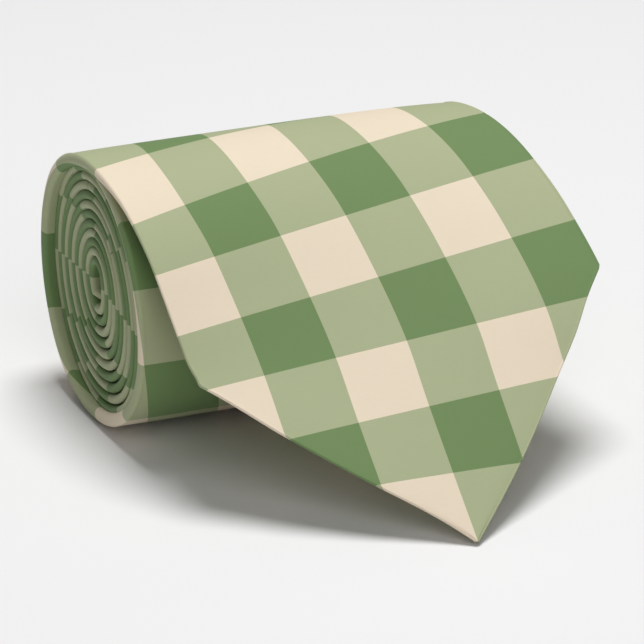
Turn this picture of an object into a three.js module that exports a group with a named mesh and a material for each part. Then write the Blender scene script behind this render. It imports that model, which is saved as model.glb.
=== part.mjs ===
// A necktie rolled up for a display box, in millimetres with +Z up.
//
// The tie is one long flattened tube of fabric. It is rolled from the narrow tail outwards about
// an axis along X, its left edges kept almost flush, and the wide blade leaves the roll over the
// top and slopes down to the table with its point resting there. The origin is on the table,
// under the roll's axis and half way along the outer turn.
//
// Every piece is a band that follows the same path. The path is measured by s, the distance from
// the blade's point along the middle of the tie's thickness. Across the path u runs along X from
// the tie's centre line, and depth n runs inwards from the tie's front face.
import * as THREE from "three";

// ---- driving dimensions ----
const TIE_LENGTH = 1400; // point to point, laid flat
const BLADE_WIDTH = 101.6; // at the blade's corners
const NECK_WIDTH = 37;
const TAIL_WIDTH = 50; // at the tail's corners
const BLADE_POINT = 55; // from the point to the blade's corners
const TAIL_POINT = 27;
const NECK_START = 720; // the blade has narrowed to the neck here
const NECK_END = 980; // the neck starts to widen into the tail here
const POINT_HALF_WIDTH = 1.2; // the turned points are a little blunt

const TIE_THICKNESS = 1.8; // front fabric, lining and interlining, back fabric
const TURN_PITCH = 2.36; // from one turn of the roll to the next
const FABRIC = 0.35;
const INTERLINING = 0.55;
const TIPPING = 0.15;
const LAYER_GAP = 0.1; // clearance between layers inside the tie
const SIDE_GAP = 0.5; // clearance between those layers' edges and the folds
const CUT_GAP = 0.3; // clearance where one band ends and the next begins

const ROLL_RADIUS = 32.6; // the front face where the blade leaves the roll
const SIDES = 20; // flats in one turn of the roll
const SLOPE = THREE.MathUtils.degToRad(36.5); // of the free blade, below the horizontal

const BLADE_SHIFT = 5; // the blade's point lies this far to the right of the roll's middle
const SHIFT_START = 160; // the blade begins to move over here, on its way to the point,
const SHIFT_END = 60; // and has moved all the way here
const LIP = 4; // the outer turn's left edge stands proud of the turns inside it
const LIP_END = 330; // the turns past here lie flush with each other

const HEM = 12; // fabric turned under along the blade's point
const BACK_OPENING_END = 112; // where the two back panels meet, and the slip stitch begins
const TAIL_OPENING_LENGTH = 55; // from the tail's point to where its back panels meet
const SLIT = 0.6; // between the two back panels
const BLADE_NECK_SEAM = 640; // the shell's three lengths are joined here
const NECK_TAIL_SEAM = 1010; // and here
const INTERLINING_JOIN = 760;

const KEEPER = { start: 207, end: 223, halfWidth: 23, top: 1.92, bottom: 2.15 };
const LABEL = { start: 236, end: 262, halfWidth: 10, top: 1.94, bottom: 2.12 };
const TACK = { length: 2, halfWidth: 4, top: 1.9, bottom: 2.12 };
const THREAD = 0.3;

// ---- the path ----
const STEP = (2 * Math.PI) / SIDES;
const HALF_STEP = STEP / 2;
const LEAVE_ANGLE = Math.PI / 2 + 2 * STEP; // from +Y, of the flat that the blade leaves
const TOP_TO_BOTTOM = SIDES / 2 + 1; // corners from the blade's flat round the back to the bottom flat

// The radius of the front face at corner i, counted inwards from the blade's flat. It shrinks at
// each corner but the one past the bottom flat, so that the bottom flats are level.
function turnRadius(i) {
  const bottomFlatsPassed = Math.floor((i + SIDES - TOP_TO_BOTTOM - 1) / SIDES);
  return ROLL_RADIUS - (TURN_PITCH / (SIDES - 1)) * (i - bottomFlatsPassed);
}

const AXIS_HEIGHT = turnRadius(TOP_TO_BOTTOM);
const LEAVE_Y = ROLL_RADIUS * Math.cos(LEAVE_ANGLE);
const LEAVE_Z = AXIS_HEIGHT + ROLL_RADIUS * Math.sin(LEAVE_ANGLE);
const FREE_LENGTH = (LEAVE_Z - TIE_THICKNESS * Math.cos(SLOPE)) / Math.sin(SLOPE);

// A station holds s and, in the YZ plane, a point of the front face and the way that depth runs
// from it. Between two stations both change evenly, so each flat keeps its thickness.
function freeStation(s) {
  const along = FREE_LENGTH - s;
  return {
    s,
    y: LEAVE_Y - along * Math.cos(SLOPE),
    z: LEAVE_Z - along * Math.sin(SLOPE),
    inY: Math.sin(SLOPE),
    inZ: -Math.cos(SLOPE),
  };
}

function rollStation(s, angle, radius, stretch) {
  return {
    s,
    y: radius * stretch * Math.cos(angle),
    z: AXIS_HEIGHT + radius * stretch * Math.sin(angle),
    inY: -stretch * Math.cos(angle),
    inZ: -stretch * Math.sin(angle),
  };
}

function makeRollStations() {
  const stations = [rollStation(FREE_LENGTH, LEAVE_ANGLE, ROLL_RADIUS, 1)];
  let s = FREE_LENGTH + (ROLL_RADIUS - TIE_THICKNESS / 2) * Math.tan(HALF_STEP);
  for (let i = 0; stations.at(-1).s < TIE_LENGTH; i += 1) {
    const radius = turnRadius(i);
    if (radius < 2 * TIE_THICKNESS) throw new Error("the roll has no room left for the tail");
    const angle = LEAVE_ANGLE - HALF_STEP - i * STEP;
    stations.push(rollStation(s, angle, radius, 1 / Math.cos(HALF_STEP)));
    s += 2 * (radius - TIE_THICKNESS / 2) * Math.tan(HALF_STEP);
  }
  return stations;
}

const ROLL_STATIONS = makeRollStations();

function stationAt(s) {
  if (s < FREE_LENGTH) return freeStation(s);
  const after = Math.max(1, ROLL_STATIONS.findIndex((station) => station.s > s));
  const a = ROLL_STATIONS[after - 1];
  const b = ROLL_STATIONS[after];
  const t = (s - a.s) / (b.s - a.s);
  const mix = (key) => THREE.MathUtils.lerp(a[key], b[key], t);
  return { s, y: mix("y"), z: mix("z"), inY: mix("inY"), inZ: mix("inZ") };
}

// ---- the tie's outline, laid flat ----
function halfWidth(s) {
  const fromTail = TIE_LENGTH - s;
  if (s < BLADE_POINT) {
    return THREE.MathUtils.mapLinear(s, 0, BLADE_POINT, POINT_HALF_WIDTH, BLADE_WIDTH / 2);
  }
  if (fromTail < TAIL_POINT) {
    return THREE.MathUtils.mapLinear(fromTail, 0, TAIL_POINT, POINT_HALF_WIDTH, TAIL_WIDTH / 2);
  }
  if (s < NECK_START) {
    return THREE.MathUtils.mapLinear(s, BLADE_POINT, NECK_START, BLADE_WIDTH / 2, NECK_WIDTH / 2);
  }
  if (s < NECK_END) return NECK_WIDTH / 2;
  return THREE.MathUtils.mapLinear(s, NECK_END, TIE_LENGTH - TAIL_POINT, NECK_WIDTH / 2, TAIL_WIDTH / 2);
}

// Half of the opening between the two back panels, which shows the tipping at each point.
function halfOpening(s) {
  const nearest = s < TIE_LENGTH / 2;
  const fromPoint = nearest ? s : TIE_LENGTH - s;
  const cornerAt = nearest ? BLADE_POINT : TAIL_POINT;
  const closedAt = nearest ? BACK_OPENING_END : TAIL_OPENING_LENGTH;
  const hem = nearest ? HEM : HEM / 2;
  if (fromPoint < cornerAt) return Math.max(SLIT / 2, halfWidth(s) - hem);
  const widest = (nearest ? BLADE_WIDTH : TAIL_WIDTH) / 2 - hem;
  return Math.max(SLIT / 2, THREE.MathUtils.mapLinear(fromPoint, cornerAt, closedAt, widest, SLIT / 2));
}

// Where the tie's centre line lies along X.
function centreX(s) {
  if (s < SHIFT_START) {
    return BLADE_SHIFT * THREE.MathUtils.smoothstep(-s, -SHIFT_START, -SHIFT_END);
  }
  const lip = LIP * THREE.MathUtils.smoothstep(s, SHIFT_START, LIP_END);
  return halfWidth(s) - halfWidth(SHIFT_START) + lip;
}

function place(station, u, n) {
  return [centreX(station.s) + u, station.y + n * station.inY, station.z + n * station.inZ];
}

// ---- bands ----
const FREE_STEP = 9; // between sections of the free blade

// Every s from start to end where a band needs a section.
function sectionPlaces(start, end) {
  const corners = [HEM, BLADE_POINT, FREE_LENGTH, BACK_OPENING_END, NECK_START, NECK_END];
  corners.push(TIE_LENGTH - TAIL_OPENING_LENGTH, TIE_LENGTH - TAIL_POINT);
  for (let s = FREE_STEP; s < FREE_LENGTH - FREE_STEP / 2; s += FREE_STEP) corners.push(s);
  const all = [...corners, ...ROLL_STATIONS.map((station) => station.s)];
  const inside = all.filter((s) => s > start + CUT_GAP && s < end - CUT_GAP).sort((a, b) => a - b);
  return [start, ...inside.filter((s, i) => i === 0 || s - inside[i - 1] > CUT_GAP), end];
}

// A closed solid: outline(s) gives the section's corners as [u, n], going round it one way, and
// the same number of them at every s.
function bandGeometry(start, end, outline) {
  const sections = sectionPlaces(start, end).map((s) => {
    const station = stationAt(s);
    return outline(s).map(([u, n]) => place(station, u, n));
  });
  const flat = outline(start).map(([u, n]) => new THREE.Vector2(u, n));
  const count = flat.length;
  const indices = [];
  for (let k = 0; k + 1 < sections.length; k += 1) {
    for (let j = 0; j < count; j += 1) {
      const next = (j + 1) % count;
      const [a, b, c, d] = [k * count + j, k * count + next, (k + 1) * count + next, (k + 1) * count + j];
      indices.push(a, c, b, a, d, c);
    }
  }
  const lastSection = (sections.length - 1) * count;
  const endFlat = outline(end).map(([u, n]) => new THREE.Vector2(u, n));
  for (const [a, b, c] of THREE.ShapeUtils.triangulateShape(flat, [])) indices.push(c, b, a);
  for (const [a, b, c] of THREE.ShapeUtils.triangulateShape(endFlat, [])) {
    indices.push(lastSection + a, lastSection + b, lastSection + c);
  }
  const geometry = new THREE.BufferGeometry();
  geometry.setAttribute("position", new THREE.Float32BufferAttribute(sections.flat(2), 3));
  geometry.setIndex(indices);
  geometry.computeVertexNormals();
  return geometry;
}

// Fabric folded round to the back, where its two panels leave the opening.
function shellOutline(s) {
  const w = halfWidth(s);
  const g = Math.min(halfOpening(s), w - 2 * FABRIC);
  const back = TIE_THICKNESS;
  const inner = back - FABRIC;
  return [
    [-w, 0],
    [-w, back],
    [-g, back],
    [-g, inner],
    [-w + FABRIC, inner],
    [-w + FABRIC, FABRIC],
    [w - FABRIC, FABRIC],
    [w - FABRIC, inner],
    [g, inner],
    [g, back],
    [w, back],
    [w, 0],
  ];
}

function rectangle(left, right, top, bottom) {
  return [
    [left, top],
    [left, bottom],
    [right, bottom],
    [right, top],
  ];
}

function interliningOutline(s) {
  const w = halfWidth(s) - FABRIC - SIDE_GAP;
  const top = FABRIC + LAYER_GAP;
  return rectangle(-w, w, top, top + INTERLINING);
}

function tippingOutline(s) {
  const w = halfWidth(s) - FABRIC - SIDE_GAP;
  const bottom = TIE_THICKNESS - FABRIC - LAYER_GAP;
  return rectangle(-w, w, bottom - TIPPING, bottom);
}

const patch = (spec) => () => rectangle(-spec.halfWidth, spec.halfWidth, spec.top, spec.bottom);

function slipStitchOutline() {
  const top = TIE_THICKNESS - FABRIC + LAYER_GAP / 2;
  return rectangle(-THREAD / 2, THREAD / 2, top, top + THREAD);
}

function seamOutline(s) {
  const w = halfWidth(s) - THREAD;
  return rectangle(-w, w, LAYER_GAP / 2, LAYER_GAP / 2 + THREAD);
}

// ---- materials ----
const makeCloth = (color, roughness) => new THREE.MeshStandardMaterial({ color, roughness, metalness: 0 });
const check = makeCloth(0xa8b08a, 0.6);
const wool = makeCloth(0xe9e4d8, 0.9);
const satin = makeCloth(0xe6dac6, 0.45);
const ribbon = makeCloth(0xf0ece2, 0.5);
const thread = makeCloth(0x6d8a58, 0.6);

// ---- pieces ----
const tie = new THREE.Group();

function addBand(name, material, start, end, outline) {
  const mesh = new THREE.Mesh(bandGeometry(start, end, outline), material);
  mesh.name = name;
  tie.add(mesh);
}

const BLADE_BEND = BLADE_POINT; // the point curls across the line between the blade's corners
const POINT_INSET = 3; // the layers inside stop short of the turned points
const SEAM_GAP = CUT_GAP + THREAD / 2;
const TAIL_END = TIE_LENGTH;

addBand("blade_shell_point", check, 0, BLADE_BEND - CUT_GAP / 2, shellOutline);
addBand("blade_shell_free", check, BLADE_BEND + CUT_GAP / 2, FREE_LENGTH - CUT_GAP, shellOutline);
addBand("blade_shell_rolled", check, FREE_LENGTH, BLADE_NECK_SEAM - SEAM_GAP, shellOutline);
addBand("neck_shell", check, BLADE_NECK_SEAM + SEAM_GAP, NECK_TAIL_SEAM - SEAM_GAP, shellOutline);
addBand("tail_shell", check, NECK_TAIL_SEAM + SEAM_GAP, TAIL_END, shellOutline);

addBand("blade_interlining_point", wool, POINT_INSET, BLADE_BEND - CUT_GAP / 2, interliningOutline);
addBand("blade_interlining_free", wool, BLADE_BEND + CUT_GAP / 2, FREE_LENGTH - CUT_GAP, interliningOutline);
addBand("blade_interlining_rolled", wool, FREE_LENGTH, INTERLINING_JOIN - CUT_GAP, interliningOutline);
addBand("tail_interlining", wool, INTERLINING_JOIN, TAIL_END - POINT_INSET, interliningOutline);

addBand("blade_tipping_point", satin, POINT_INSET, BLADE_BEND - CUT_GAP / 2, tippingOutline);
addBand("blade_tipping_free", satin, BLADE_BEND + CUT_GAP / 2, FREE_LENGTH - CUT_GAP, tippingOutline);
addBand("blade_tipping_rolled", satin, FREE_LENGTH, BACK_OPENING_END + HEM, tippingOutline);
addBand("tail_tipping", satin, TAIL_END - TAIL_OPENING_LENGTH - HEM / 2, TAIL_END - POINT_INSET, tippingOutline);

const stitchStart = BACK_OPENING_END + TACK.length;
const stitchEnd = TAIL_END - TAIL_OPENING_LENGTH - TACK.length;
addBand("slip_stitch_thread", thread, stitchStart, stitchEnd, slipStitchOutline);
addBand("blade_bar_tack", thread, stitchStart - TACK.length, stitchStart, patch(TACK));
addBand("tail_bar_tack", thread, stitchEnd, stitchEnd + TACK.length, patch(TACK));
addBand("blade_neck_seam_thread", thread, BLADE_NECK_SEAM - THREAD / 2, BLADE_NECK_SEAM + THREAD / 2, seamOutline);
addBand("neck_tail_seam_thread", thread, NECK_TAIL_SEAM - THREAD / 2, NECK_TAIL_SEAM + THREAD / 2, seamOutline);

addBand("keeper_loop", check, KEEPER.start, KEEPER.end, patch(KEEPER));
addBand("care_label", ribbon, LABEL.start, LABEL.end, patch(LABEL));

export default tie;
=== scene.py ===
"""Finishes a rolled necktie: checked cloth folded round a wool interlining, rolled from its tail."""

import math

import bmesh
import bpy
import numpy as np
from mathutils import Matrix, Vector


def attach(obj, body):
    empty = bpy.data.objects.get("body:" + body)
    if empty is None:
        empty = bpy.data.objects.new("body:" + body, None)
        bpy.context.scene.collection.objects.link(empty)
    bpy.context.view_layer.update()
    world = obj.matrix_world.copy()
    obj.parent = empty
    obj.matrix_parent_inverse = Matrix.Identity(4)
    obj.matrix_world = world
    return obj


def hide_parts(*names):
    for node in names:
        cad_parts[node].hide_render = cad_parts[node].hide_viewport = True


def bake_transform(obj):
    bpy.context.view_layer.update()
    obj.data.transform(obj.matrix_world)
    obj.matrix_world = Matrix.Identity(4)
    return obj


bl_info = {
    "name": "Rolled necktie",
    "version": (1, 0, 0),
    "blender": (4, 5, 0),
    "location": "View3D > Sidebar > Necktie",
    "description": "Makes the cloth, lining, stitches and stage of a rolled checked necktie",
    "category": "Object",
}

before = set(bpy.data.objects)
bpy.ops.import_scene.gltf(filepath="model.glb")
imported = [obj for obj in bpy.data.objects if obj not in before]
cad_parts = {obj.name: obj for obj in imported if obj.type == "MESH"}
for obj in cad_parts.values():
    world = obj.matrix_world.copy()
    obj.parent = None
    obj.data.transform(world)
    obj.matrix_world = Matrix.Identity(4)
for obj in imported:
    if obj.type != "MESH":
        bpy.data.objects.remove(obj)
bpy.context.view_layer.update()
MM = 0.001

# ---- the tie laid flat, in millimetres; s runs from the blade's point along the tie ----
TIE_LENGTH = 1400.0
BLADE_CORNER = 55.0  # from the blade's point to its corners
TAIL_CORNER = 27.0  # from the tail's point to its corners
NECK_START, NECK_END = 720.0, 980.0
POINT_HALF_WIDTH = 0.5
BLADE_HALF_WIDTH, NECK_HALF_WIDTH, TAIL_HALF_WIDTH = 49.6, 18.5, 25.0
POINT_BULGE = 0.9  # the point's edges are cut in a slight curve
BLADE_NECK_SEAM, NECK_TAIL_SEAM = 640.0, 1010.0
INTERLINING_JOIN = 760.0
SEAM_GAP = 0.3  # between two lengths of cloth where they are joined
BACK_CLOSES, TAIL_CLOSES = 112.0, 55.0  # from each point to where the back panels meet
HEM, TAIL_HEM = 12.0, 6.0
SLIT = 0.7  # between the back panels
TIE_THICKNESS, POINT_THICKNESS = 2.3, 0.8
CLOTH_THICKNESS = 0.35
LAYERS_DEPTH = 2.05  # where the tie is thinner than this, the layers inside it are pressed closer
THREAD, SEAM_THREAD = 0.3, 0.25

# ---- the roll ----
ROLL_RADIUS = 32.6
TURN_PITCH = 2.42
CORE_RADIUS = 2.0  # the tightest turn
CORE_LIFT = 3.2  # of the core above the middle of the outer turn
MIDDLE_DEPTH = 1.0  # from the front face to where the tie's length is measured
AXIS_HEIGHT = 31.2337
SLOPE = math.radians(38.4)
LIFT_OFF = math.radians(94.0)  # where the blade begins to leave the roll's round
TURNS_FROM = math.radians(123.0)  # the turns are counted from here
LEFT_EDGE = -46.4
FREE_HINGE, POINT_HINGE = 94.4, 55.0  # where the blade lifts from the roll, and where its point curls
POINT_HEIGHT = 1.2  # of the point's front face above the table
SPLIT_FREE, SPLIT_ROLL = 74.0, 186.0  # the blade's cloth is made in three lengths


def smooth(t):
    """Rises from 0 to 1 with level ends."""
    t = np.clip(t, 0.0, 1.0)
    return t * t * (3 - 2 * t)


def hump(t, middle, spread):
    """Is 1 at the middle and falls away to 0 on both sides."""
    return np.exp(-(((t - middle) / spread) ** 2))


def make_path():
    """The path of the tie's front face: s, y, z and the angle of the outward normal."""
    step = 0.25
    radius = ROLL_RADIUS - TURN_PITCH * (TURNS_FROM - LIFT_OFF) / (2 * math.pi)
    y = radius * math.cos(LIFT_OFF)
    z = AXIS_HEIGHT + radius * math.sin(LIFT_OFF)
    angle, travelled = LIFT_OFF, 0.0
    end_angle = math.pi / 2 + SLOPE
    ease = 2 * (end_angle - LIFT_OFF) * radius
    free = [(0.0, y, z, angle)]
    while z > POINT_HEIGHT:
        bend = max(0.0, 1 - travelled / ease) / radius
        angle = min(end_angle, angle + bend * step)
        y += -math.sin(angle) * step
        z += math.cos(angle) * step
        travelled += step
        free.append((travelled, y, z, angle))
    length = free[-1][0] - (POINT_HEIGHT - z) / math.sin(SLOPE)
    rows = [(length - t, py, pz, a) for t, py, pz, a in reversed(free)]
    s, angle = length, LIFT_OFF
    while s < TIE_LENGTH + 5:
        turn = step / max(CORE_RADIUS, radius)
        angle -= turn
        radius = max(CORE_RADIUS, radius - TURN_PITCH * turn / (2 * math.pi))
        # The tie's length is measured near the middle of its thickness.
        s += (radius - MIDDLE_DEPTH) * turn
        # The core is pressed a little flat, and no turn is a true round.
        pressed = 0.3 * math.exp(-radius / 6) * math.cos(2 * angle + math.pi)
        uneven = 0.012 * math.sin(2 * angle + 0.6) + 0.25 / (radius + 4) * math.sin(3 * angle + radius / 9)
        r = radius * (1 + pressed + uneven)
        lifted = CORE_LIFT * (1 - radius / ROLL_RADIUS)
        rows.append((s, r * math.cos(angle), AXIS_HEIGHT + lifted + r * math.sin(angle), angle))
    return np.array(rows)


PATH = make_path()


def path_at(s):
    return [np.interp(s, PATH[:, 0], PATH[:, k]) for k in (1, 2, 3)]


# How the tie lies, at these places along it: its middle along X, then the slant of its rows along the
# cloth and its tilt from side to side, both in degrees.
LIE = np.array(
    [
        (0, 10.3, -6.0, -2.5),
        (35, 10.4, 3.0, 2.0),
        (50, 10.7, 3.0, 3.7),
        (70, 9.1, 7.5, 1.7),
        (85, 7.0, 10.0, -1.0),
        (105, 3.4, 15.0, -1.4),
        (120, 2.0, 15.0, 0.0),
        (145, 1.3, 11.0, 0.0),
        (200, 1.3, 4.5, 0.0),
        (250, 1.3, 0.0, 0.0),
    ]
)
LIE_S, LIE_X = LIE[:, 0], LIE[:, 1]
LIE_SLANT, LIE_TILT = np.radians(LIE[:, 2]), np.radians(LIE[:, 3])
# How far the checks stand to the left of the tie's middle, at these places along it.
CHECKS_LEFT = np.array(
    [
        (0, 0.0),
        (34.4, 0.3),
        (55, 0.5),
        (86, 0.8),
        (103.2, 0.8),
        (120.4, 0.2),
        (150, -0.7),
        (196, -1.0),
        (250, 12.3),
        (300, 12.3),
        (600, 0.0),
    ]
)


def read_curve(s, places, values):
    """Reads a smooth curve through the values at these places along the tie."""
    slope = np.gradient(values, places)
    slope[-1] = 0.0
    k = np.clip(np.searchsorted(places, s, side="right") - 1, 0, len(places) - 2)
    step = places[k + 1] - places[k]
    t = np.clip((s - places[k]) / step, 0, 1)
    rise = smooth(t)
    bow = step * (slope[k] * t * (1 - t) ** 2 - slope[k + 1] * t * t * (1 - t))
    return values[k] * (1 - rise) + values[k + 1] * rise + bow


def half_width(s, left=False):
    """Half of the tie's width. The blade narrows behind its corners, and its left corner hangs lower."""
    s = np.asarray(s, float)
    if left:
        s = s + 2.4 * smooth(s / 20) * smooth((90 - s) / 30)
    share = np.clip(s / BLADE_CORNER, 0, 1)
    bulge = POINT_BULGE * np.sin(math.pi * share) ** 2
    if not left:
        bulge = bulge - 1.6 * hump(s, 50.5, 7)
    point = POINT_HALF_WIDTH + (BLADE_HALF_WIDTH - POINT_HALF_WIDTH) * s / BLADE_CORNER + bulge
    narrowing = smooth((s - BLADE_CORNER) / (NECK_START - BLADE_CORNER)) ** 1.6
    body = BLADE_HALF_WIDTH - (BLADE_HALF_WIDTH - NECK_HALF_WIDTH) * narrowing
    if left:
        body = body - 0.8 * hump(s, BLADE_CORNER, 4) - 1.6 * hump(s, 110, 22)
    widening = np.clip((s - NECK_END) / (TIE_LENGTH - TAIL_CORNER - NECK_END), 0, 1)
    tail = NECK_HALF_WIDTH + (TAIL_HALF_WIDTH - NECK_HALF_WIDTH) * widening
    tail_point = POINT_HALF_WIDTH + (TAIL_HALF_WIDTH - POINT_HALF_WIDTH) * (TIE_LENGTH - s) / TAIL_CORNER
    body = np.where(s < NECK_END, body, tail)
    return np.maximum(POINT_HALF_WIDTH, np.minimum(body, np.minimum(point, tail_point)))


def half_opening(s):
    """Half of the gap between the back panels."""
    s = np.asarray(s, float)
    blade = np.where(
        s < BLADE_CORNER,
        half_width(s) - HEM,
        np.interp(s, [BLADE_CORNER, BACK_CLOSES], [BLADE_HALF_WIDTH - HEM, SLIT / 2]),
    )
    from_tail = TIE_LENGTH - s
    tail = np.where(
        from_tail < TAIL_CORNER,
        half_width(s) - TAIL_HEM,
        np.interp(from_tail, [TAIL_CORNER, TAIL_CLOSES], [TAIL_HALF_WIDTH - TAIL_HEM, SLIT / 2]),
    )
    return np.maximum(SLIT / 2, np.where(s < TIE_LENGTH / 2, blade, tail))


def thickness(s):
    """The folded tie's thickness, which thins towards each point."""
    to_point = np.minimum(s, TIE_LENGTH - s)
    return np.minimum(TIE_THICKNESS, POINT_THICKNESS + to_point / 8)


def centre_x(s):
    slant = read_curve(s, LIE_S, LIE_SLANT)
    proud = 2.7 * smooth((s - 190) / 60)
    side = half_width(np.minimum(s, TIE_LENGTH - TAIL_CORNER), left=True)
    set_back = 1.9 * (1 - smooth((s - 115) / 35))
    flush = LEFT_EDGE + set_back + side * np.cos(slant) + proud
    rolled = smooth((s - 100) / 35)
    return read_curve(s, LIE_S, LIE_X) * (1 - rolled) + flush * rolled


def place(s, u, n):
    """Where a point of the tie lies, in metres: s along it, u across it and n deep from its front."""
    s, u, n = np.broadcast_arrays(*(np.asarray(v, float) for v in (s, u, n)))
    slant = read_curve(s, LIE_S, LIE_SLANT)
    tilt = read_curve(s, LIE_S, LIE_TILT)
    y, z, angle = path_at(s + u * np.sin(slant))
    out = u * np.sin(tilt) - n
    x = centre_x(s) + u * np.cos(slant)
    return np.stack([x, y + out * np.cos(angle), z + out * np.sin(angle)], -1) * MM


# ---- meshes ----
def stations(start, end, step, keep=()):
    """Places along the tie from start to end, a step apart, with those in keep among them."""
    count = max(2, int(round((end - start) / step)) + 1)
    places = list(np.linspace(start, end, count))
    for k in keep:
        if start < k < end:
            places[int(np.argmin([abs(p - k) for p in places[1:-1]])) + 1] = k
    return np.array(sorted(places))


def edge_thickness(s):
    """The fold is pressed flat on the free blade and stands round in the roll."""
    loose = 1.05 + 1.2 * smooth((s - 84) / 45)
    return np.minimum(loose, thickness(s))


def shell_section(s, front_columns, back_columns, fold_columns):
    """The folded cloth across the tie at s: columns of u, depth and the distance along the cloth."""
    t, g = float(thickness(s)), float(half_opening(s))
    edge = float(edge_thickness(s))
    puff = 1.1 * float(smooth((s - 104) / 40) * (1 - smooth((s - 268) / 60)))
    turn = np.linspace(0, math.pi, fold_columns + 2)[1:-1]
    back = np.linspace(0, 1, back_columns)
    sides = []
    for sign, deep in ((-1, edge + puff), (1, edge)):
        w = float(half_width(s, left=sign < 0))
        r = min(edge / 2, w * 0.6)
        flat = w - r
        open_to = min(g, max(flat - 0.3, 0.15))
        run = flat - open_to
        fall = (deep - t) * (1 - smooth(run * (1 - back) / 5.0))
        panel = [
            (sign * (open_to + run * b), t + f, sign * (flat + math.pi * r + run * (1 - b)))
            for b, f in zip(back, fall)
        ]
        fold = [
            (
                sign * (flat + r * math.sin(a)),
                deep * (1 + math.cos(a)) / 2,
                sign * (flat + r * (math.pi - a)),
            )
            for a in turn
        ]
        sides.append((panel + fold, flat))
    front = np.linspace(-1, 1, front_columns)
    front = np.sign(front) * (1 - (1 - np.abs(front)) ** 1.15)
    reach = [sides[0][1] if f < 0 else sides[1][1] for f in front]
    middle = [(r * f, 0.25 * abs(f) ** 6, r * f) for r, f in zip(reach, front)]
    return np.array(sides[0][0] + middle + sides[1][0][::-1])


CELL = 16.69  # one check along the tie
CELL_ACROSS = 16.85
BACK_ROW, FRONT_ROW = 9.2, 14.3  # the count of checks where the outer turn faces backwards and forwards


def weft_rows():
    """Counts the checks along the tie. Inside the roll they ease out, so that they meet turn by turn."""
    turns = np.interp(math.pi * np.arange(1, 44), -PATH[:, 3], PATH[:, 0])
    places = [0.0, 103.0, 169.0, 230.0, turns[0], turns[1]]
    counts = [0.0, 103.0 / CELL, BACK_ROW, FRONT_ROW - 1.4, FRONT_ROW, round(FRONT_ROW + 5.7)]
    for start, half, full in zip(turns[1::2], turns[2::2], turns[3::2]):
        if full - half < 4:
            break
        rows = 2 * max(0, round(((full - start) / CELL - 1) / 2)) + 1
        counts += [counts[-1] + round(rows * (half - start) / (full - start)), counts[-1] + rows]
        places += [half, full]
    return places, counts


WEFT_ROWS = weft_rows()


def cloth_mesh(name, rows, sections):
    """A grid of cloth laid out by its sections, one for each s in rows. Its weave is counted in checks."""
    across, along = len(sections[0]), len(rows)
    bm = bmesh.new()
    bmesh.ops.create_grid(bm, x_segments=across - 1, y_segments=along - 1, size=1.0)
    bm.verts.ensure_lookup_table()
    flat = np.array([v.co[:2] for v in bm.verts])
    column = np.rint((flat[:, 0] - flat[:, 0].min()) / np.ptp(flat[:, 0]) * (across - 1)).astype(int)
    row = np.rint((flat[:, 1] - flat[:, 1].min()) / np.ptp(flat[:, 1]) * (along - 1)).astype(int)
    table = np.stack(sections)
    u, n, d = (table[row, column, k] for k in range(3))
    s = np.asarray(rows)[row]
    points = place(s, u, n)
    warp = (d + read_curve(s, CHECKS_LEFT[:, 0], CHECKS_LEFT[:, 1])) / CELL_ACROSS
    weft = np.interp(s, *WEFT_ROWS)
    weave = bm.loops.layers.uv.new("Weave")
    for vert, point in zip(bm.verts, points):
        vert.co = point
    # The side away from the tie's middle is its face, judged at the middle of the grid.
    bm.normal_update()
    middle = int(np.flatnonzero((row == along // 2) & (column == across // 2))[0])
    outwards = place(s[middle], u[middle], n[middle] - 1.0) - points[middle]
    if bm.verts[middle].normal.dot(Vector(outwards)) < 0:
        bmesh.ops.reverse_faces(bm, faces=bm.faces)
    for face in bm.faces:
        face.smooth = True
        for loop in face.loops:
            i = loop.vert.index
            loop[weave].uv = (warp[i], weft[i])
    for edge in bm.edges:
        edge.smooth = not edge.is_boundary
    mesh = bpy.data.meshes.new(name)
    bm.to_mesh(mesh)
    bm.free()
    return mesh


def add_object(name, mesh, material):
    mesh.materials.append(material)
    obj = bpy.data.objects.new(name, mesh)
    bpy.context.scene.collection.objects.link(obj)
    return obj


def thicken(obj, thick):
    """Gives the cloth its thickness, inwards from the face."""
    solid = obj.modifiers.new("Cloth thickness", "SOLIDIFY")
    solid.thickness = thick * MM
    solid.offset = -1
    solid.use_even_offset = False
    solid.use_quality_normals = True
    return obj


def declare_cloth(widths):
    """Makes an array of this cloth's widths, in millimetres, at each of rows along the tie, and keeps
    nothing.
    """
    widths = np.array(widths)


def shell_piece(name, start, end, step, material, keep=(), front=41, back=14, fold=7):
    rows = stations(start, end, step, keep)
    sections = [shell_section(s, front, back, fold) for s in rows]
    mesh = cloth_mesh(name, rows, sections)
    obj = thicken(add_object(name, mesh, material), CLOTH_THICKNESS)
    return obj, rows, [np.ptp(section[:, 2]) for section in sections]


def band_piece(name, start, end, step, inset, depth, thick, material, material_slot, half=None, columns=13):
    """A flat layer at this depth from the tie's front: as wide as the tie less an inset, or a patch."""
    rows = stations(start, end, step)
    sections = []
    for s in rows:
        w = half if half is not None else max(0.3, float(half_width(s)) - inset)
        u = np.linspace(-w, w, columns)
        deep = depth * min(1.0, float(thickness(s)) / LAYERS_DEPTH)
        sections.append(np.stack([u, np.full(columns, deep), u], -1))
    mesh = cloth_mesh(name, rows, sections)
    obj = thicken(add_object(name, mesh, material), thick)
    return obj, rows, [np.ptp(section[:, 0]) for section in sections]


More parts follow.
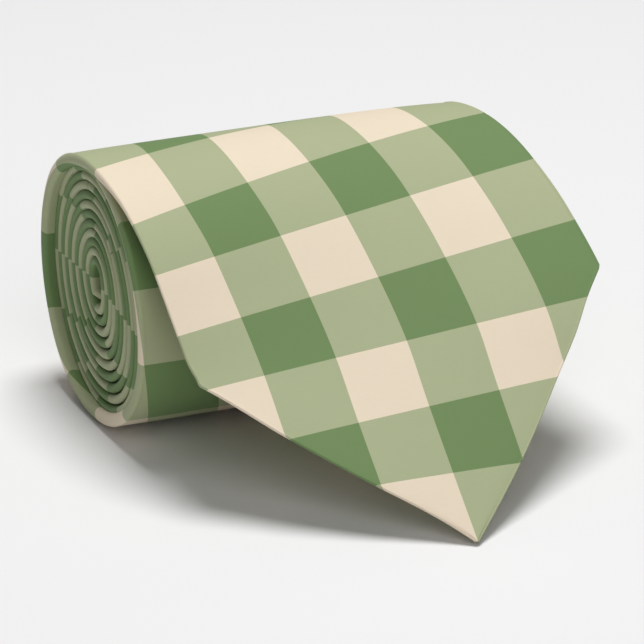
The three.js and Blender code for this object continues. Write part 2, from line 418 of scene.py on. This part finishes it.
def stitch_piece(name, places, thick, material):
    """Sewing thread: a short round stitch from each pair of places (s, u, n) to the next."""
    bm = bmesh.new()
    for a, b in places:
        start, end = place(*a), place(*b)
        length = float(np.linalg.norm(end - start))
        made = bmesh.ops.create_uvsphere(bm, u_segments=6, v_segments=5, radius=thick * MM / 2)["verts"]
        along = (end - start) / length
        for vert in made:
            local = np.array(vert.co)
            pull = local[2] / (thick * MM / 2) * length / 2
            side = np.cross(along, [0.0, 0.0, 1.0])
            side = side / np.linalg.norm(side) if np.linalg.norm(side) > 1e-6 else np.array([1.0, 0, 0])
            up = np.cross(side, along)
            vert.co = (start + end) / 2 + along * pull + side * local[0] + up * local[1]
    for face in bm.faces:
        face.smooth = True
    bmesh.ops.recalc_face_normals(bm, faces=bm.faces)
    mesh = bpy.data.meshes.new(name)
    bm.to_mesh(mesh)
    bm.free()
    return add_object(name, mesh, material)


# ---- materials ----
def linear(colour):
    """A colour as seen on a screen, 0 to 255, as light."""
    out = []
    for c in colour:
        c = c / 255
        out.append(c / 12.92 if c <= 0.04045 else ((c + 0.055) / 1.055) ** 2.4)
    return (*out, 1.0)


def new_material(name, roughness, sheen=0.0):
    material = bpy.data.materials.new(name)
    material.use_nodes = True
    shader = material.node_tree.nodes["Principled BSDF"]
    shader.inputs["Roughness"].default_value = roughness
    shader.inputs["Specular IOR Level"].default_value = 0.2
    shader.inputs["Sheen Weight"].default_value = sheen
    shader.inputs["Sheen Roughness"].default_value = 0.45
    return material, material.node_tree, shader


def math_node(tree, operation, a, b=None):
    node = tree.nodes.new("ShaderNodeMath")
    node.operation = operation
    for socket, value in zip(node.inputs, (a, b)):
        if value is None:
            continue
        if isinstance(value, (int, float)):
            socket.default_value = value
        else:
            tree.links.new(value, socket)
    return node.outputs[0]


def mix_colour(tree, share, a, b):
    node = tree.nodes.new("ShaderNodeMix")
    node.data_type = "RGBA"
    for socket, value in ((node.inputs[0], share), (node.inputs[6], a), (node.inputs[7], b)):
        if hasattr(value, "links") or hasattr(value, "is_linked"):
            tree.links.new(value, socket)
        else:
            socket.default_value = value
    return node.outputs[2]


def noise_node(tree, vector, scale, detail=2.0):
    node = tree.nodes.new("ShaderNodeTexNoise")
    node.inputs["Scale"].default_value = scale
    node.inputs["Detail"].default_value = detail
    tree.links.new(vector, node.inputs["Vector"])
    return node.outputs["Fac"]


def bump_from(tree, shader, height, distance, strength=1.0):
    node = tree.nodes.new("ShaderNodeBump")
    node.inputs["Strength"].default_value = strength
    node.inputs["Distance"].default_value = distance
    tree.links.new(height, node.inputs["Height"])
    tree.links.new(node.outputs["Normal"], shader.inputs["Normal"])


def ribs(tree, x, y, per_check, slant=1.0):
    """Twill ribs that run aslant, as heights from 0 to 1."""
    across = math_node(tree, "ADD", x, math_node(tree, "MULTIPLY", y, slant))
    wave = math_node(tree, "SINE", math_node(tree, "MULTIPLY", across, per_check * 2 * math.pi))
    return math_node(tree, "ADD", math_node(tree, "MULTIPLY", wave, 0.5), 0.5)


RIBS_PER_CHECK = 42.0


def checked_twill(colours):
    material, tree, shader = new_material("Checked_Twill", 0.7, 0.05)
    uv = tree.nodes.new("ShaderNodeUVMap")
    uv.uv_map = "Weave"
    split = tree.nodes.new("ShaderNodeSeparateXYZ")
    tree.links.new(uv.outputs[0], split.inputs[0])
    x, y = split.outputs[0], split.outputs[1]
    # Dyed stripes: the warp's are on even checks and the weft's on odd ones.
    warp = math_node(tree, "LESS_THAN", math_node(tree, "FLOORED_MODULO", x, 2.0), 1.0)
    weft = math_node(tree, "GREATER_THAN", math_node(tree, "FLOORED_MODULO", y, 2.0), 1.0)
    either = math_node(tree, "MAXIMUM", warp, weft)
    both = math_node(tree, "MULTIPLY", warp, weft)
    ground = mix_colour(tree, either, linear(colours.cream), linear(colours.light_green))
    cloth = mix_colour(tree, both, ground, linear(colours.dark_green))
    # The yarn's dye varies a little along its length.
    stretch = tree.nodes.new("ShaderNodeMapping")
    stretch.inputs["Scale"].default_value = (1.0, 9.0, 1.0)
    tree.links.new(uv.outputs[0], stretch.inputs["Vector"])
    slub = noise_node(tree, stretch.outputs[0], 6.0, 3.0)
    cloudy = noise_node(tree, uv.outputs[0], 0.6, 2.0)
    vary = math_node(tree, "MULTIPLY", math_node(tree, "ADD", slub, cloudy), 0.05)
    rib = ribs(tree, x, y, RIBS_PER_CHECK)
    # The ribs' crests are painted 3% lighter than their grooves: painted shade along the twill ribs, added
    # to the dye's variation.
    shade = math_node(tree, "ADD", vary, math_node(tree, "MULTIPLY", rib, 0.03))
    bright = tree.nodes.new("ShaderNodeHueSaturation")
    tree.links.new(cloth, bright.inputs["Color"])
    tree.links.new(math_node(tree, "ADD", shade, 0.935), bright.inputs["Value"])
    tree.links.new(bright.outputs[0], shader.inputs["Base Color"])
    bump_from(tree, shader, rib, 0.00004, 0.5)
    return material


def plain_weave(name, colour, roughness, sheen, threads_per_mm, soft):
    material, tree, shader = new_material(name, roughness, sheen)
    place_node = tree.nodes.new("ShaderNodeTexCoord")
    split = tree.nodes.new("ShaderNodeSeparateXYZ")
    tree.links.new(place_node.outputs["Object"], split.inputs[0])
    turns = threads_per_mm * 2 * math.pi * 1000
    x = math_node(tree, "SINE", math_node(tree, "MULTIPLY", split.outputs[0], turns))
    y = math_node(tree, "SINE", math_node(tree, "MULTIPLY", split.outputs[1], turns))
    z = math_node(tree, "SINE", math_node(tree, "MULTIPLY", split.outputs[2], turns))
    height = math_node(tree, "ADD", math_node(tree, "MULTIPLY", x, y), math_node(tree, "MULTIPLY", z, 0.5))
    fuzz = noise_node(tree, place_node.outputs["Object"], 900.0 * soft, 4.0)
    cloud = noise_node(tree, place_node.outputs["Object"], 60.0, 2.0)
    base = linear(colour)
    darker = (*(c * 0.88 for c in base[:3]), 1.0)
    share = math_node(tree, "MULTIPLY", math_node(tree, "ADD", fuzz, cloud), 0.5)
    tree.links.new(mix_colour(tree, share, base, darker), shader.inputs["Base Color"])
    surface = math_node(tree, "ADD", height, math_node(tree, "MULTIPLY", fuzz, soft))
    bump_from(tree, shader, surface, 0.00003, 0.6)
    return material


def floor_material():
    material, tree, shader = new_material("Pale_Floor", 0.9)
    shader.inputs["Base Color"].default_value = (0.855, 0.855, 0.855, 1)
    shader.inputs["Specular IOR Level"].default_value = 0.1
    return material


# ---- settings ----
def colour_setting(name, description, red, green, blue):
    """A colour as seen on a screen."""
    return bpy.props.IntVectorProperty(
        name=name, description=description, default=(red, green, blue), min=0, max=255
    )


class NECKTIE_PG_colours(bpy.types.PropertyGroup):
    cream: colour_setting("Cream", "Undyed checks", 232, 217, 194)
    light_green: colour_setting("Light green", "Checks where one dyed stripe passes", 171, 178, 141)
    dark_green: colour_setting("Dark green", "Checks where two dyed stripes cross", 113, 139, 90)
    lining: colour_setting("Lining", "Satin tipping at the tie's points", 224, 208, 182)
    wool: colour_setting("Interlining", "Brushed wool inside the tie", 231, 225, 212)
    thread: colour_setting("Thread", "Sewing thread", 104, 132, 84)
    ribbon: colour_setting("Label", "Woven ribbon of the care label", 240, 236, 226)


class NECKTIE_PG_sizes(bpy.types.PropertyGroup):
    row_step: bpy.props.FloatProperty(
        name="Row step",
        description="Length of one row of faces, in millimetres",
        default=1.6,
        min=0.8,
        max=5,
    )
    camera_distance: bpy.props.FloatProperty(
        name="Camera distance",
        description="From the camera to its target",
        default=0.9,
        min=0.3,
        unit="LENGTH",
    )


def make_materials():
    colours = bpy.context.scene.necktie_colours
    return {
        "check": checked_twill(colours),
        "satin": plain_weave("Satin_Tipping", colours.lining, 0.42, 0.2, 3.0, 0.3),
        "wool": plain_weave("Brushed_Wool", colours.wool, 0.9, 0.3, 1.2, 2.0),
        "thread": plain_weave("Sewing_Thread", colours.thread, 0.6, 0.1, 5.0, 0.5),
        "ribbon": plain_weave("Label_Ribbon", colours.ribbon, 0.5, 0.1, 2.2, 0.3),
    }


MATERIALS = {}


def material(key):
    if not MATERIALS:
        MATERIALS.update(make_materials())
    return MATERIALS[key]


def point_at(s, n=0.0):
    return tuple(place(s, 0.0, n))


POINT_BEND, ROLL_BEND = 28.0, 20.0  # lengths of blade about each hinge, in millimetres; points are found with them, but nothing is bent


def bend_at_point_hinge(obj):
    start, end = point_at(POINT_HINGE + POINT_BEND / 2), point_at(POINT_HINGE - POINT_BEND / 2)
    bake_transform(obj)


def bend_at_roll(obj):
    point_at(FREE_HINGE)
    point_at(FREE_HINGE - ROLL_BEND)
    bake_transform(obj)


def ride_roll(obj):
    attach(obj, "roll")


def settle(made, move, *nodes):
    """Puts a finished cloth in place of its plain solids: hands it to move, hides the solids and passes its
    widths to declare_cloth.
    """
    obj, rows, widths = made
    move(obj)
    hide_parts(*nodes)
    declare_cloth(widths)


def settle_thread(obj, node):
    ride_roll(obj)
    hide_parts(node)


# ---- operators ----
class NECKTIE_OT_shell(bpy.types.Operator):
    """Makes the checked cloth, from the blade's point to the tail"""

    bl_idname = "necktie.shell"
    bl_label = "Checked cloth"

    def execute(self, context):
        step = context.scene.necktie_sizes.row_step
        check = material("check")
        wide = {"front": 81, "back": 22}
        neck_start, neck_end = BLADE_NECK_SEAM + SEAM_GAP, NECK_TAIL_SEAM - SEAM_GAP
        corner = (BLADE_CORNER,)
        point = shell_piece("Blade_Shell_Point", 0.0, SPLIT_FREE, step / 2, check, corner, **wide)
        free = shell_piece("Blade_Shell_Free", SPLIT_FREE, SPLIT_ROLL, step / 2, check, **wide)
        rolled = shell_piece("Blade_Shell_Rolled", SPLIT_ROLL, BLADE_NECK_SEAM, step * 1.25, check, **wide)
        neck = shell_piece("Neck_Shell", neck_start, neck_end, step, check, front=21, back=9)
        tail = shell_piece("Tail_Shell", NECK_TAIL_SEAM, TIE_LENGTH, step / 1.6, check, front=25, back=9)
        settle(point, bend_at_point_hinge, "blade_shell_point")
        settle(free, bend_at_roll, "blade_shell_free")
        settle(rolled, ride_roll, "blade_shell_rolled")
        settle(neck, ride_roll, "neck_shell")
        settle(tail, ride_roll, "tail_shell")
        return {"FINISHED"}


class NECKTIE_OT_interlining(bpy.types.Operator):
    """Makes the brushed wool inside the tie"""

    bl_idname = "necktie.interlining"
    bl_label = "Interlining"

    def execute(self, context):
        finish = (2.4, 0.42, 0.5, material("wool"), "wool_interlining")
        point = band_piece("Blade_Interlining_Point", 6.0, SPLIT_FREE, 2.0, *finish)
        free = band_piece("Blade_Interlining_Free", SPLIT_FREE, SPLIT_ROLL, 2.0, *finish)
        rolled = band_piece("Blade_Interlining_Rolled", SPLIT_ROLL, INTERLINING_JOIN, 2.5, *finish)
        tail = band_piece("Tail_Interlining", INTERLINING_JOIN + SEAM_GAP, TIE_LENGTH - 4, 1.5, *finish)
        settle(point, bend_at_point_hinge, "blade_interlining_point")
        settle(free, bend_at_roll, "blade_interlining_free")
        settle(rolled, ride_roll, "blade_interlining_rolled")
        settle(tail, ride_roll, "tail_interlining")
        return {"FINISHED"}


class NECKTIE_OT_tipping(bpy.types.Operator):
    """Makes the satin lining that shows behind each point"""

    bl_idname = "necktie.tipping"
    bl_label = "Tipping"

    def execute(self, context):
        finish = (3.5, 1.0, 0.12, material("satin"), "satin_tipping")
        point = band_piece("Blade_Tipping_Point", 5.0, SPLIT_FREE, 1.5, *finish, columns=25)
        free = band_piece("Blade_Tipping_Free", SPLIT_FREE, BACK_CLOSES + 12, 1.5, *finish, columns=25)
        tail = band_piece("Tail_Tipping", TIE_LENGTH - 61, TIE_LENGTH - 4, 1.5, *finish)
        settle(point, bend_at_point_hinge, "blade_tipping_point")
        settle(free, bend_at_roll, "blade_tipping_free", "blade_tipping_rolled")
        settle(tail, ride_roll, "tail_tipping")
        return {"FINISHED"}


class NECKTIE_OT_stitches(bpy.types.Operator):
    """Makes the slip stitch, the bar tacks and the two joining seams"""

    bl_idname = "necktie.stitches"
    bl_label = "Stitches"

    def execute(self, context):
        thread = material("thread")
        places = np.arange(BACK_CLOSES + 4, TIE_LENGTH - TAIL_CLOSES - 7, 7.0)
        slips = [((s, -0.5, 1.85), (s + 5.0, 0.5, 1.85)) for s in places]
        settle_thread(stitch_piece("Slip_Stitch_Thread", slips, THREAD, thread), "slip_stitch_thread")
        for name, node, start in (
            ("Blade_Bar_Tack", "blade_bar_tack", BACK_CLOSES + 1),
            ("Tail_Bar_Tack", "tail_bar_tack", TIE_LENGTH - TAIL_CLOSES - 1),
        ):
            rows = [start + THREAD * k for k in range(6)]
            wraps = [((s, -4.0, 2.1), (s, 4.0, 2.1)) for s in rows]
            settle_thread(stitch_piece(name, wraps, THREAD, thread), node)
        for name, node, seam in (
            ("Blade_Neck_Seam_Thread", "blade_neck_seam_thread", BLADE_NECK_SEAM + SEAM_GAP / 2),
            ("Neck_Tail_Seam_Thread", "neck_tail_seam_thread", NECK_TAIL_SEAM - SEAM_GAP / 2),
        ):
            reach = float(half_width(seam)) - 1.2
            across = np.arange(-reach, reach - 1.8, 2.2)
            stitches = [((seam, u, 0.25), (seam, u + 1.8, 0.25)) for u in across]
            settle_thread(stitch_piece(name, stitches, SEAM_THREAD, thread), node)
        return {"FINISHED"}


class NECKTIE_OT_keeper(bpy.types.Operator):
    """Makes the keeper loop and the blank care label on the back of the blade"""

    bl_idname = "necktie.keeper"
    bl_label = "Keeper loop and label"

    def execute(self, context):
        keeper_finish = (0, 2.3, 0.2, material("check"), "check_cloth")
        label_finish = (0, 2.3, 0.15, material("ribbon"), "label_ribbon")
        keeper = band_piece("Keeper_Loop", 207.0, 223.0, 1.0, *keeper_finish, half=23.0)
        label = band_piece("Care_Label", 236.0, 262.0, 1.0, *label_finish, half=10.0)
        settle(keeper, ride_roll, "keeper_loop")
        settle(label, ride_roll, "care_label")
        return {"FINISHED"}


FLOOR_GAP = 0.0002  # of the floor below the tie
CAMERA_TARGET = (0.00243, -0.02331, 0.02594)
CAMERA_AZIMUTH = math.radians(22.05)
CAMERA_ELEVATION = math.radians(23.08)
CAMERA_LENS = 222.2


def add_area_light(name, at, target, size, power):
    data = bpy.data.lights.new(name, "AREA")
    data.shape = "DISK"
    data.size = size
    data.energy = power
    lamp = bpy.data.objects.new(name, data)
    lamp.location = at
    aim = np.array(at) - np.array(target)
    lamp.rotation_mode = "QUATERNION"
    lamp.rotation_quaternion = Vector(aim).to_track_quat("Z", "Y")
    bpy.context.scene.collection.objects.link(lamp)


class NECKTIE_OT_stage(bpy.types.Operator):
    """Makes the pale floor, the soft lights and the camera"""

    bl_idname = "necktie.stage"
    bl_label = "Stage"

    def execute(self, context):
        scene = context.scene
        bm = bmesh.new()
        bmesh.ops.create_grid(bm, x_segments=1, y_segments=1, size=4.0)
        bmesh.ops.translate(bm, verts=bm.verts, vec=(0, 0, -FLOOR_GAP))
        mesh = bpy.data.meshes.new("Floor")
        bm.to_mesh(mesh)
        bm.free()
        mesh.materials.append(floor_material())
        floor = bpy.data.objects.new("Floor", mesh)
        scene.collection.objects.link(floor)
        scene.view_settings.view_transform = "Standard"
        world = bpy.data.worlds.new("Soft_Room")
        world.use_nodes = True
        world.node_tree.nodes["Background"].inputs[0].default_value = (1, 1, 1, 1)
        world.node_tree.nodes["Background"].inputs[1].default_value = 0.13
        scene.world = world
        middle = (0.0, -0.03, 0.03)
        add_area_light("Overhead", (0.1, 0.12, 1.35), middle, 0.6, 15.5)
        add_area_light("Front", (-0.15, -1.25, 0.95), middle, 1.1, 5.5)
        distance = scene.necktie_sizes.camera_distance
        back = Vector(
            (
                -math.sin(CAMERA_AZIMUTH) * math.cos(CAMERA_ELEVATION),
                -math.cos(CAMERA_AZIMUTH) * math.cos(CAMERA_ELEVATION),
                math.sin(CAMERA_ELEVATION),
            )
        )
        data = bpy.data.cameras.new("Camera")
        data.lens = CAMERA_LENS
        data.sensor_width = 36.0
        data.clip_start, data.clip_end = 0.01, 50
        camera = bpy.data.objects.new("Camera", data)
        camera.location = Vector(CAMERA_TARGET) + back * distance
        camera.rotation_mode = "QUATERNION"
        camera.rotation_quaternion = back.to_track_quat("Z", "Y")
        scene.collection.objects.link(camera)
        scene.camera = camera
        return {"FINISHED"}


class NECKTIE_PT_panel(bpy.types.Panel):
    """Lists the tie's pieces and settings"""

    bl_label = "Necktie"
    bl_idname = "NECKTIE_PT_panel"
    bl_space_type = "VIEW_3D"
    bl_region_type = "UI"
    bl_category = "Necktie"

    def draw(self, context):
        for group in (context.scene.necktie_colours, context.scene.necktie_sizes):
            for key in group.bl_rna.properties.keys():
                if key not in {"rna_type", "name"}:
                    self.layout.prop(group, key)
        for operator in OPERATORS:
            self.layout.operator(operator.bl_idname)


OPERATORS = (
    NECKTIE_OT_stage,
    NECKTIE_OT_shell,
    NECKTIE_OT_interlining,
    NECKTIE_OT_tipping,
    NECKTIE_OT_stitches,
    NECKTIE_OT_keeper,
)
CLASSES = (NECKTIE_PG_colours, NECKTIE_PG_sizes, *OPERATORS, NECKTIE_PT_panel)


def register():
    for cls in CLASSES:
        bpy.utils.register_class(cls)
    bpy.types.Scene.necktie_colours = bpy.props.PointerProperty(type=NECKTIE_PG_colours)
    bpy.types.Scene.necktie_sizes = bpy.props.PointerProperty(type=NECKTIE_PG_sizes)


def unregister():
    del bpy.types.Scene.necktie_sizes
    del bpy.types.Scene.necktie_colours
    for cls in reversed(CLASSES):
        bpy.utils.unregister_class(cls)


def main():
    register()
    for operator in OPERATORS:
        group, name = operator.bl_idname.split(".")
        getattr(getattr(bpy.ops, group), name)()


if __name__ == "__main__":
    main()
